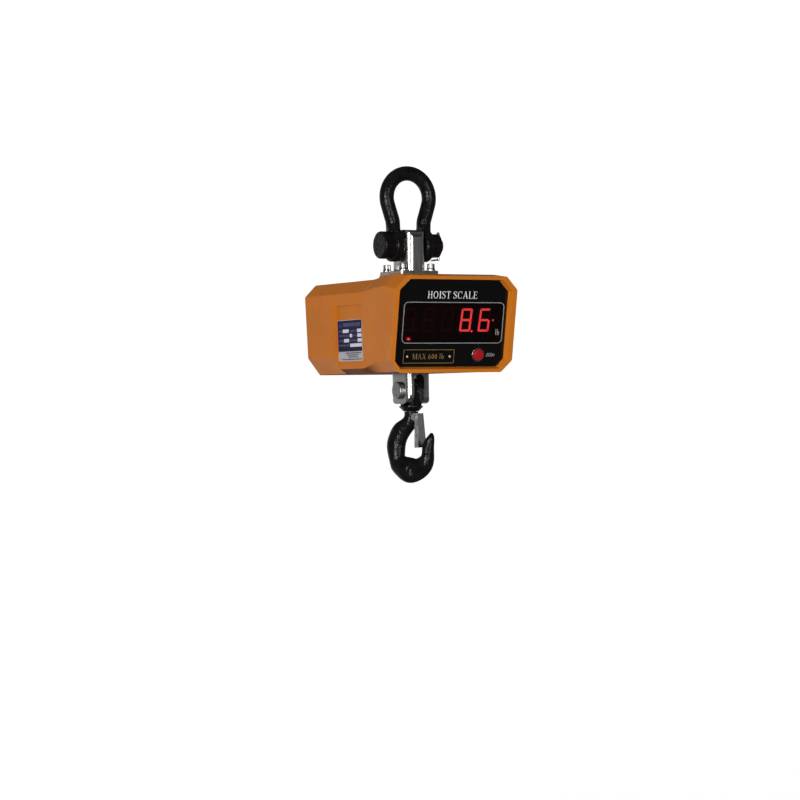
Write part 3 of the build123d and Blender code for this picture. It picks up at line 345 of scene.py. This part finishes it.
SEGMENT_DARK = glossy_print("segment_dark", (0.34, 0.16, 0.16), (0.38, 0.18, 0.18), 0.5)
WHITE_INK = glossy_print("white_ink", (0.66, 0.67, 0.67), (0.78, 0.79, 0.79), 0.4)
GREY_INK = glossy_print("grey_ink", (0.36, 0.37, 0.38), (0.46, 0.47, 0.48), 0.4)
GOLD_INK = glossy_print("gold_ink", (0.30, 0.19, 0.06), (0.42, 0.28, 0.10), 0.34, metal=0.5)
PALE_DOT = glossy_print("pale_dot", (0.70, 0.62, 0.38), (0.85, 0.78, 0.55), 0.3, metal=0.4)
NAVY_INK = glossy_print("navy_ink", (0.004, 0.004, 0.028), (0.007, 0.007, 0.042), 0.35)
LILAC_INK = glossy_print("lilac_ink", (0.065, 0.06, 0.16), (0.095, 0.088, 0.21), 0.4)
LABEL_WHITE = glossy_print("label_white", (0.62, 0.58, 0.74), (0.74, 0.71, 0.82), 0.4)
DARK_INK = glossy_print("dark_ink", (0.035, 0.04, 0.05), (0.06, 0.065, 0.08), 0.45)

SATIN_STEEL = plain_metal("satin_steel", 0.004, (0.34, 0.34, 0.33), (0.50, 0.50, 0.49), 0.28, 0.42)
LAMP_LENS = glossy_print("lamp_lens", (0.20, 0.010, 0.014), (0.26, 0.014, 0.018), 0.3)
DARK_CHROME = plain_metal("dark_chrome", 0.003, (0.24, 0.24, 0.25), (0.36, 0.36, 0.36), 0.10, 0.20)
SPECIAL = {"clevis_pin": SATIN_STEEL, "flange_screws": SATIN_STEEL, "button_bezel": DARK_CHROME,
           "status_led": LAMP_LENS}
slots = {part["node"]: part["material_slot"] for part in frame["record"]["subparts"]}
for node_name, node in frame["nodes"].items():
    for material_slot in node.material_slots:
        material_slot.material = SPECIAL.get(node_name, FINISHES[slots[node_name]])


# ---- thin printed and applied pieces ------------------------------------------------------------
def flat_piece(name, shapes, where, low, high, material, body):
    """A thin closed solid: the union of outlines in millimetres, between two heights over a plane."""
    points = []
    outlines = []
    for shape in shapes:
        area = sum(a[0] * b[1] - b[0] * a[1] for a, b in zip(shape, shape[1:] + shape[:1]))
        shape = shape if area > 0 else shape[::-1]
        outlines.append(list(range(len(points), len(points) + len(shape))))
        points.extend(Vector(point) for point in shape)
    verts, _, faces, _, _, owners = delaunay_2d_cdt(points, [], outlines, 0, 1e-5, True)
    kept = [face for face, owner in zip(faces, owners) if owner]
    used = sorted({index for face in kept for index in face})
    order = {old: new for new, old in enumerate(used)}
    kept = [[order[index] for index in face] for face in kept]
    count = len(used)
    corners = [Vector((verts[i].x * MM, verts[i].y * MM, high)) for i in used]
    corners += [Vector((verts[i].x * MM, verts[i].y * MM, low)) for i in used]
    sides = {}
    for face in kept:
        for a, b in zip(face, face[1:] + face[:1]):
            if (b, a) in sides:
                del sides[(b, a)]
            else:
                sides[(a, b)] = True
    walls = [[b, a, a + count, b + count] for a, b in sides]
    lower = [[index + count for index in reversed(face)] for face in kept]
    mesh = bpy.data.meshes.new(name)
    mesh.from_pydata([where @ corner for corner in corners], [], kept + lower + walls)
    mesh.validate()
    mesh.materials.append(material)
    piece = bpy.data.objects.new(name, mesh)
    bpy.context.scene.collection.objects.link(piece)
    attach(piece, body)


def block(x0, y0, x1, y1):
    return [(x0, y0), (x1, y0), (x1, y1), (x0, y1)]


def oval(x, y, half_x, half_y, count=24):
    turn = 2 * math.pi / count
    return [(x + half_x * math.cos(turn * i), y + half_y * math.sin(turn * i)) for i in range(count)]


def outline_box(x0, y0, x1, y1, line):
    """Four strips that make a rectangular frame."""
    return [
        block(x0, y0, x1, y0 + line),
        block(x0, y1 - line, x1, y1),
        block(x0, y0, x0 + line, y1),
        block(x1 - line, y0, x1, y1),
    ]


# ---- serif lettering, drawn as pen strokes in a unit cap height -----------------------------------
THICK = 0.060
SHOULDER = 0.043
THIN = 0.024
HAIR = 0.018
LETTER_GAP = 0.06
CURVE_STEPS = 6


def stroke(points, curved=False):
    """Outline of a pen stroke through (x, y, half width) points."""
    if curved:
        smooth = []
        chain = [points[0]] + points + [points[-1]]
        for before, start, end, after in zip(chain, chain[1:], chain[2:], chain[3:]):
            for step in range(CURVE_STEPS):
                t = step / CURVE_STEPS
                smooth.append([
                    0.5 * (2 * b + (c - a) * t + (2 * a - 5 * b + 4 * c - d) * t ** 2
                           + (3 * b - a - 3 * c + d) * t ** 3)
                    for a, b, c, d in zip(before, start, end, after)
                ])
        points = smooth + [list(points[-1])]
    left = []
    right = []
    for index, (x, y, half) in enumerate(points):
        ahead = points[min(index + 1, len(points) - 1)]
        behind = points[max(index - 1, 0)]
        along = Vector((ahead[0] - behind[0], ahead[1] - behind[1])).normalized()
        left.append((x - along.y * half, y + along.x * half))
        right.append((x + along.y * half, y - along.x * half))
    return right + left[::-1]


def line(x0, y0, x1, y1, half):
    return stroke([(x0, y0, half), (x1, y1, half)])


def serif(x, y, reach=0.14):
    return line(x - reach, y, x + reach, y, HAIR)


def stem(x, top=1.0, half=THICK):
    return [line(x, 0, x, top, half), serif(x, HAIR), serif(x, top - HAIR)]


def bar(x0, x1, y):
    return line(x0, y, x1, y, THIN)


def tick(x, y0, y1):
    return line(x, y0, x, y1, HAIR)


def arc(*points):
    return stroke(list(points), curved=True)


def ring(width):
    """Round letter or figure: thick at the sides, thin at top and bottom."""
    half = width / 2
    shapes = []
    for side in (-1, 1):
        shapes.append(arc(
            (half - side * 0.02, 0.97, THIN), (half + side * (half - 0.2), 0.87, SHOULDER),
            (half + side * (half - 0.09), 0.5, THICK), (half + side * (half - 0.2), 0.13, SHOULDER),
            (half - side * 0.02, 0.03, THIN)))
    return shapes


TOP = 1.0 - THIN
# each letter: its width and its strokes
GLYPHS = {
    " ": (0.24, []),
    "H": (0.74, stem(0.16) + stem(0.58) + [bar(0.16, 0.58, 0.52)]),
    "O": (0.76, ring(0.74)),
    "I": (0.34, stem(0.17)),
    "S": (0.56, [
        arc((0.45, 0.80, THIN), (0.40, 0.92, THIN), (0.27, TOP, THIN), (0.11, 0.87, SHOULDER),
            (0.11, 0.69, THICK), (0.28, 0.53, 0.066), (0.45, 0.36, THICK), (0.45, 0.15, SHOULDER),
            (0.28, 0.03, THIN), (0.13, 0.08, THIN), (0.07, 0.22, THIN)),
        tick(0.46, 0.72, 0.98), tick(0.06, 0.02, 0.28)]),
    "T": (0.64, stem(0.32) + [bar(0.05, 0.59, TOP), tick(0.05, 0.76, 1.0), tick(0.59, 0.76, 1.0)]),
    "C": (0.68, [
        arc((0.60, 0.76, THIN), (0.52, 0.92, THIN), (0.37, TOP, THIN), (0.17, 0.87, SHOULDER),
            (0.09, 0.5, THICK), (0.17, 0.13, SHOULDER), (0.37, 0.03, THIN), (0.53, 0.08, THIN),
            (0.62, 0.22, THIN)),
        tick(0.61, 0.70, 0.99)]),
    "A": (0.76, [
        line(0.11, 0, 0.39, 1.0, THIN), line(0.37, 1.0, 0.65, 0, THICK), bar(0.21, 0.55, 0.33),
        serif(0.11, HAIR, 0.11), serif(0.64, HAIR)]),
    "L": (0.62, stem(0.16) + [bar(0.16, 0.58, THIN), tick(0.57, 0.0, 0.25)]),
    "E": (0.64, stem(0.16) + [
        bar(0.16, 0.54, TOP), bar(0.16, 0.44, 0.52), bar(0.16, 0.58, THIN),
        tick(0.54, 0.78, 1.0), tick(0.44, 0.42, 0.62), tick(0.58, 0.0, 0.24)]),
    "Z": (0.62, [
        bar(0.08, 0.56, TOP), bar(0.06, 0.58, THIN), line(0.50, 0.98, 0.12, 0.02, THICK),
        tick(0.08, 0.78, 1.0), tick(0.58, 0.0, 0.24)]),
    "R": (0.72, stem(0.16) + [
        arc((0.16, TOP, THIN), (0.42, 0.95, 0.04), (0.53, 0.76, THICK), (0.42, 0.55, 0.04),
            (0.16, 0.51, THIN)),
        line(0.32, 0.52, 0.60, 0.02, 0.07), serif(0.62, HAIR, 0.09)]),
    "M": (0.94, stem(0.12, half=THIN) + stem(0.80) + [
        line(0.15, 1.0, 0.45, 0.04, THICK), line(0.45, 0.04, 0.77, 1.0, THIN)]),
    "X": (0.74, [
        line(0.13, 1.0, 0.60, 0, THICK), line(0.59, 1.0, 0.13, 0, THIN),
        serif(0.13, TOP), serif(0.60, TOP, 0.11), serif(0.13, HAIR, 0.11), serif(0.60, HAIR)]),
    "0": (0.54, ring(0.52)),
    "6": (0.54, [
        arc((0.42, 0.96, HAIR), (0.22, 0.84, 0.05), (0.10, 0.58, THICK), (0.10, 0.28, THICK),
            (0.18, 0.08, 0.05), (0.28, 0.03, THIN), (0.40, 0.12, SHOULDER), (0.43, 0.30, THICK),
            (0.37, 0.50, 0.05), (0.25, 0.56, THIN), (0.13, 0.46, HAIR))]),
    "l": (0.26, [line(0.13, 0, 0.13, 1.06, 0.052)]),
    "b": (0.56, [
        line(0.13, 0.03, 0.13, 1.04, 0.052),
        arc((0.13, 0.50, THIN), (0.27, 0.62, 0.035), (0.42, 0.50, THICK), (0.46, 0.32, THICK),
            (0.41, 0.12, THICK), (0.27, 0.03, THIN), (0.13, 0.10, THIN))]),
}


def lettering(text, left, base, width, height, lean=0.0):
    """Outlines of a line of text, fitted to a width and cap height."""
    total = sum(GLYPHS[letter][0] + LETTER_GAP for letter in text) - LETTER_GAP
    scale_x = width / total
    at = 0.0
    shapes = []
    for letter in text:
        advance, glyph = GLYPHS[letter]
        for shape in glyph:
            shapes.append([(left + (at + x + lean * y) * scale_x, base + y * height) for x, y in shape])
        at += advance + LETTER_GAP
    return shapes


# ---- seven-segment figures, in millimetres on the display end ---------------------------------------
DIGIT_PITCH = 23.8
DIGIT_FIRST = -50.9
DIGIT_Y = 3.4
DIGIT_HALF_W = 7.0
DIGIT_HALF_H = 12.8
SEGMENT = 2.3
SEGMENT_GAP = 0.22
DIGIT_SLANT = 0.07
MITRE = 0.5
DOT_X = 8.3
DOT_Y = -12.3
DOT_RADIUS = 1.25
SEGMENTS = "abcdefg"
LAMP_Y = -17.6


def segment(name):
    """Outline of one bar of the figure eight, with mitred ends."""
    w, h, s, g = DIGIT_HALF_W, DIGIT_HALF_H, SEGMENT, SEGMENT_GAP
    top = [(-w + g + MITRE, h), (w - g - MITRE, h), (w - s - g, h - s), (-w + s + g, h - s)]
    upper = [(w, h - g - MITRE), (w, s / 2 + g - 2 * MITRE), (w - s / 2, g),
             (w - s, s / 2 + g), (w - s, h - s - g)]
    middle = [(-w + s / 2 + g, 0), (-w + s + g, s / 2), (w - s - g, s / 2), (w - s / 2 - g, 0),
              (w - s - g, -s / 2), (-w + s + g, -s / 2)]
    return {
        "a": top,
        "b": upper,
        "c": [(x, -y) for x, y in upper][::-1],
        "d": [(x, -y) for x, y in top][::-1],
        "e": [(-x, -y) for x, y in upper],
        "f": [(-x, y) for x, y in upper][::-1],
        "g": middle,
    }[name]


def figure(index, names):
    """Outlines of one digit with the named segments, and its slant."""
    centre = DIGIT_FIRST + index * DIGIT_PITCH
    shapes = []
    for name in names:
        shapes.append([(centre + x + DIGIT_SLANT * y, DIGIT_Y + y) for x, y in segment(name)])
    return shapes


def decimal_point(index):
    return oval(DIGIT_FIRST + index * DIGIT_PITCH + DOT_X, DIGIT_Y + DOT_Y, DOT_RADIUS, DOT_RADIUS)


FILM = 0.35 * MM
segment_low = -RECESS - 3.6 * MM
segment_high = segment_low + FILM
lit = figure(3, SEGMENTS) + figure(4, "acdefg") + [decimal_point(3)]
dark = [shape for index in (0, 1, 2) for shape in figure(index, SEGMENTS)]
dark += [decimal_point(index) for index in (0, 1, 2, 4)] + figure(4, "b")
flat_piece("segments_lit", lit, FACE, segment_low, segment_high, SEGMENT_LIT, "scale")
flat_piece("segments_dark", dark, FACE, segment_low, segment_high, SEGMENT_DARK, "scale")
halo = [oval(-50.9, LAMP_Y, 3.3, 2.3)]
flat_piece("status_halo", halo, FACE, segment_low, segment_high, LAMP_HALO, "scale")
core = [oval(-51.0, LAMP_Y, 1.8, 1.2)]
core_high = segment_high + FILM
flat_piece("status_core", core, FACE, segment_high, core_high, LAMP_CORE, "scale")
pointer = [[(54.2, 3.2), (56.4, 1.9), (56.4, 4.5)]]
flat_piece("pointer_lit", pointer, FACE, segment_low, segment_high, SEGMENT_LIT, "scale")

# ---- panel printing: lettering is placed by left edge, base line, width and cap height --------------
INK = 0.06 * MM
panel_face = -RECESS
glass_face = -RECESS - 0.1 * MM
title = lettering("HOIST SCALE", -32.7, 27.4, 63.8, 8.0)
flat_piece("title_print", title, FACE, panel_face, panel_face + INK, WHITE_INK, "scale")
unit = lettering("lb", 57.6, -12.8, 5.2, 6.4)
flat_piece("unit_print", unit, FACE, glass_face, glass_face + INK, GREY_INK, "scale")
zero_text = lettering("ZERO", 47.6, -36.6, 11.0, 3.5, lean=0.12)
flat_piece("zero_print", zero_text, FACE, panel_face, panel_face + INK, GREY_INK, "scale")
capacity = outline_box(-57.8, -43.9, 6.6, -28.7, 0.6) + lettering("MAX 600 lb", -46.4, -39.2, 40.2, 5.8)
flat_piece("capacity_print", capacity, FACE, panel_face, panel_face + INK, GOLD_INK, "scale")
dots = [oval(x, -36.4, 1.2, 1.3) for x in (-52.8, 1.0)]
flat_piece("capacity_dots", dots, FACE, panel_face, panel_face + INK, PALE_DOT, "scale")

# ---- side label: x to the right of its centre, y up -----------------------------------------------
LABEL_HALF_W = 28.0
LABEL_HALF_H = 23.0
LABEL_MARGIN = 0.6
NAVY_BASE = -12.2
BOX_HALF_H = 1.9
WORD_GAP = 0.7
PEN = 0.4
words = random.Random(11)


def word_row(x0, x1, y, height):
    """A row of small blocks that reads as a line of fine print."""
    shapes = []
    x = x0
    while x < x1 - 1.0:
        length = min(words.uniform(1.4, 3.6), x1 - x)
        shapes.append(block(x, y - height / 2, x + length, y + height / 2))
        x += length + WORD_GAP
    return shapes


navy = [block(-LABEL_HALF_W + LABEL_MARGIN, NAVY_BASE,
              LABEL_HALF_W - LABEL_MARGIN, LABEL_HALF_H - LABEL_MARGIN)]
flat_piece("label_field", navy, LABEL, 0.0, INK, NAVY_INK, "scale")
boxes = []
fine = []
# height of each row of the form and the ends of its blank boxes
ROWS = ((10.6, ((-15.8, -2.2), (17.0, 26.6))), (5.4, ((0.2, 5.4), (17.2, 26.8))),
        (0.0, ((-13.6, -2.0), (17.8, 27.0))), (-5.4, ((0.2, 27.0),)))
for row_y, spans in ROWS:
    start = -25.0
    for x0, x1 in spans:
        boxes.append(block(x0, row_y - BOX_HALF_H, x1, row_y + BOX_HALF_H))
        fine += word_row(start, x0 - 1.4, row_y, 2.0)
        start = x1 + 1.8
flat_piece("label_boxes", boxes, LABEL, INK, 2 * INK, LABEL_WHITE, "scale")
emblem = [stroke([(-25.0, 15.6, PEN), (-21.6, 20.6, PEN), (-18.2, 15.6, PEN)])]
emblem.append(line(-25.0, 15.8, -18.2, 15.8, PEN))
heading = word_row(-15.0, 25.5, 17.6, 4.2)
flat_piece("label_fine_print", fine + emblem + heading, LABEL, INK, 2 * INK, LILAC_INK, "scale")
notes = []
for row_y, x0, x1 in ((-14.0, -11.0, 24.0), (-16.2, -7.5, 20.0), (-18.4, -5.0, 17.5), (-21.0, -20.0, 26.0)):
    notes += word_row(x0, x1, row_y, 1.3)
flat_piece("label_notes", notes, LABEL, 0.0, INK, DARK_INK, "scale")


# ---- stage, light and camera ------------------------------------------------------------------------
FLOOR_Z = -1.7
COVE_START = 3.0
COVE_RADIUS = 2.5
COVE_STEPS = 12
WALL_TOP = 5.0
BACKDROP_GLOW = 0.80


def backdrop():
    """Round floor that sweeps up into a wall on every side."""
    profile = [(0.001, FLOOR_Z), (1.5, FLOOR_Z), (COVE_START, FLOOR_Z)]
    for step in range(1, COVE_STEPS + 1):
        angle = math.radians(90 * step / COVE_STEPS)
        reach = COVE_START + COVE_RADIUS * math.sin(angle)
        profile.append((reach, FLOOR_Z + COVE_RADIUS * (1 - math.cos(angle))))
    profile.append((COVE_START + COVE_RADIUS, WALL_TOP))
    around = 96
    verts = []
    for radius, z in profile:
        for index in range(around):
            angle = 2 * math.pi * index / around
            verts.append((radius * math.cos(angle), radius * math.sin(angle), z))
    faces = []
    for level in range(len(profile) - 1):
        for index in range(around):
            after = (index + 1) % around
            faces.append((level * around + index, level * around + after,
                          (level + 1) * around + after, (level + 1) * around + index))
    mesh = bpy.data.meshes.new("backdrop")
    mesh.from_pydata(verts, [], faces)
    for face in mesh.polygons:
        face.use_smooth = True
    f = Finish("backdrop", (0.86, 0.86, 0.86), 0.9)
    f.put("Base Color", f.mix(f.noise(0.9, detail=2), (0.85, 0.85, 0.85), (0.87, 0.87, 0.87)))
    f.put("Specular IOR Level", 0.0)
    f.put("Emission Color", (1.0, 1.0, 1.0, 1.0))
    f.put("Emission Strength", BACKDROP_GLOW)
    mesh.materials.append(f.material)
    made = bpy.data.objects.new("backdrop", mesh)
    bpy.context.scene.collection.objects.link(made)
    made.visible_diffuse = False
    made.visible_glossy = False
    made.visible_transmission = False
    made.visible_shadow = False


backdrop()

# brightness of the studio round the object, by compass direction: 0 is -Y, positive towards -X
SURROUND = ((-180, 1.10), (-168, 0.50), (-110, 0.22), (-60, 0.08), (-27, 0.06), (-10, 0.34), (48, 0.38),
            (60, 0.08), (105, 0.12), (145, 0.30), (160, 0.40), (168, 1.10), (180, 1.10))
# brightness added by height, and share of the compass brightness kept at each height: 0 is straight down
HEIGHT_GLOW = ((0.0, 0.05), (0.25, 0.06), (0.42, 0.01), (0.72, 0.0), (1.0, 0.10))
HEIGHT_SHARE = ((0.12, 0.0), (0.26, 0.8), (0.58, 1.0), (0.70, 0.1))


def studio_world():
    """Soft grey surroundings for the reflections, as one band of lighter and darker walls."""
    world = bpy.data.worlds.new("studio")
    bpy.context.scene.world = world
    world.use_nodes = True
    tree = world.node_tree

    def join(source, target):
        tree.links.new(source, target)

    def remap(source, low, high):
        made = tree.nodes.new("ShaderNodeMapRange")
        made.inputs["From Min"].default_value = low
        made.inputs["From Max"].default_value = high
        join(source, made.inputs["Value"])
        return made.outputs[0]

    def ramp(source, stops, blue=1.0):
        made = tree.nodes.new("ShaderNodeValToRGB")
        elements = made.color_ramp.elements
        while len(elements) < len(stops):
            elements.new(0.5)
        for element, (position, level) in zip(elements, stops):
            element.position = position
            element.color = (level, level, level * blue, 1.0)
        join(source, made.inputs["Fac"])
        return made.outputs["Color"]

    def blend(kind, a, b):
        made = tree.nodes.new("ShaderNodeMix")
        made.data_type = "RGBA"
        made.blend_type = kind
        made.inputs[MIX_SHARE].default_value = 1.0
        join(a, made.inputs[MIX_A])
        join(b, made.inputs[MIX_B])
        return made.outputs[2]

    direction = tree.nodes.new("ShaderNodeTexCoord").outputs["Generated"]
    flip = tree.nodes.new("ShaderNodeVectorMath")
    flip.operation = "SCALE"
    flip.inputs["Scale"].default_value = -1.0
    join(direction, flip.inputs[0])
    split = tree.nodes.new("ShaderNodeSeparateXYZ")
    join(flip.outputs[0], split.inputs[0])
    compass = tree.nodes.new("ShaderNodeMath")
    compass.operation = "ARCTAN2"
    join(split.outputs["X"], compass.inputs[0])
    join(split.outputs["Y"], compass.inputs[1])
    around = ramp(remap(compass.outputs[0], -math.pi, math.pi),
                  [((degrees + 180) / 360, level) for degrees, level in SURROUND], 1.02)
    height = remap(split.outputs["Z"], 1.0, -1.0)
    band = blend("MULTIPLY", around, ramp(height, HEIGHT_SHARE))
    total = blend("ADD", band, ramp(height, HEIGHT_GLOW))
    join(total, tree.nodes["Background"].inputs["Color"])


studio_world()
TARGET = Vector((0, 0, -0.16))


def soft_box(name, location, size, watts, tint=(1, 1, 1), mirrored=True):
    """Rectangular light aimed at the housing; mirrored ones show in reflections."""
    light = bpy.data.lights.new(name, "AREA")
    light.shape = "RECTANGLE"
    light.size, light.size_y = size
    light.energy = watts
    light.color = tint
    made = bpy.data.objects.new(name, light)
    bpy.context.scene.collection.objects.link(made)
    made.location = location
    made.rotation_mode = "QUATERNION"
    made.rotation_quaternion = (TARGET - Vector(location)).to_track_quat("-Z", "Y")
    made.visible_camera = False
    made.visible_glossy = mirrored


soft_box("key_left", (-2.25, -1.95, -0.2), (0.8, 1.4), 62, (1.0, 0.985, 0.96))
soft_box("key_front", (-0.1, -2.9, -0.1), (0.55, 1.2), 19, (1.0, 0.985, 0.96))
soft_box("fill_low", (-2.0, -0.9, -1.1), (1.4, 1.4), 9, (1.0, 0.96, 0.90), mirrored=False)
soft_box("fill_back", (0.8, 2.6, 0.5), (1.6, 1.6), 18, mirrored=False)
soft_box("fill_right", (2.6, 0.3, 0.2), (1.2, 1.6), 24, mirrored=False)
soft_box("fill_top", (-0.6, -0.6, 2.4), (1.4, 1.4), 12, mirrored=False)

# camera: level, 30 degrees round to the left of the display, with a slight roll
EYE = Vector((-1.3607, -2.3321, -0.2465))
LENS = 108.0
SENSOR = 36.0
BEARING = math.radians(30.0)
ROLL = math.radians(0.9)
look = Vector((math.sin(BEARING), math.cos(BEARING), 0))
side = Vector((math.cos(BEARING), -math.sin(BEARING), 0))
rise = Vector((0, 0, 1))
eye = bpy.data.cameras.new("camera")
eye.lens = LENS
eye.sensor_width = SENSOR
eye.clip_end = 100.0
camera = bpy.data.objects.new("camera", eye)
bpy.context.scene.collection.objects.link(camera)
across = side * math.cos(ROLL) - rise * math.sin(ROLL)
upward = side * math.sin(ROLL) + rise * math.cos(ROLL)
camera.matrix_world = (
    Matrix.Translation(EYE)
    @ Matrix((across, upward, -look)).transposed().to_4x4()
)
bpy.context.scene.camera = camera
bpy.context.scene.view_settings.view_transform = "Standard"
